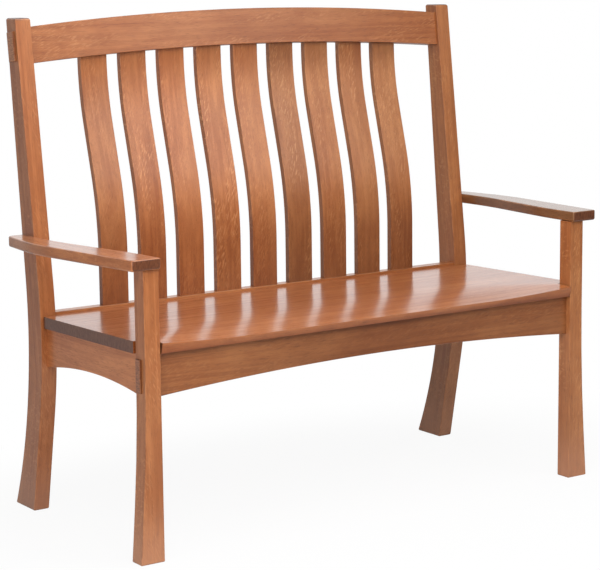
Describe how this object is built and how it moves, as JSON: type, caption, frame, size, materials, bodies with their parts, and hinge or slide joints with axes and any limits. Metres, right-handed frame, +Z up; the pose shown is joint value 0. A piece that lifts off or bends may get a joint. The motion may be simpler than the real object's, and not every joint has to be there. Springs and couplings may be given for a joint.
{
  "type": "mission settle",
  "caption": "Wooden mission settle with a slatted raked back, an arched crest rail, a dished plank seat, flat outswept arms and flared feet.",
  "frame": {"origin": "middle of the settle's overall box, on the floor", "axes": "+X along the settle to the right of someone who looks at its front, +Y towards its back, +Z up"},
  "size_m": [1.3606, 0.623, 1.1512],
  "materials": {
    "stained_oak": "orange-brown stained quarter-sawn oak, satin lacquer",
    "beech": "plain beech, unfinished",
    "zinc_steel": "zinc plated"
  },
  "bodies": {
    "root": {"arm_left": "stained_oak", "arm_loose_tenons": "beech", "arm_right": "stained_oak", "back_post_left": "stained_oak", "back_post_right": "stained_oak", "corner_block_front_left": "stained_oak", "corner_block_front_right": "stained_oak", "corner_block_rear_left": "stained_oak", "corner_block_rear_right": "stained_oak", "crest_rail": "stained_oak", "front_apron": "stained_oak", "front_leg_left": "stained_oak", "front_leg_right": "stained_oak", "lower_back_rail": "stained_oak", "seat_bearer_left": "stained_oak", "seat_bearer_right": "stained_oak", "seat_board_1": "stained_oak", "seat_board_2": "stained_oak", "seat_board_3": "stained_oak", "seat_board_4": "stained_oak", "seat_screws": "zinc_steel", "side_apron_left": "stained_oak", "side_apron_right": "stained_oak", "slat_1": "stained_oak", "slat_2": "stained_oak", "slat_3": "stained_oak", "slat_4": "stained_oak", "slat_5": "stained_oak", "slat_6": "stained_oak", "slat_7": "stained_oak", "slat_8": "stained_oak", "slat_9": "stained_oak"}
  },
  "joints": []
}
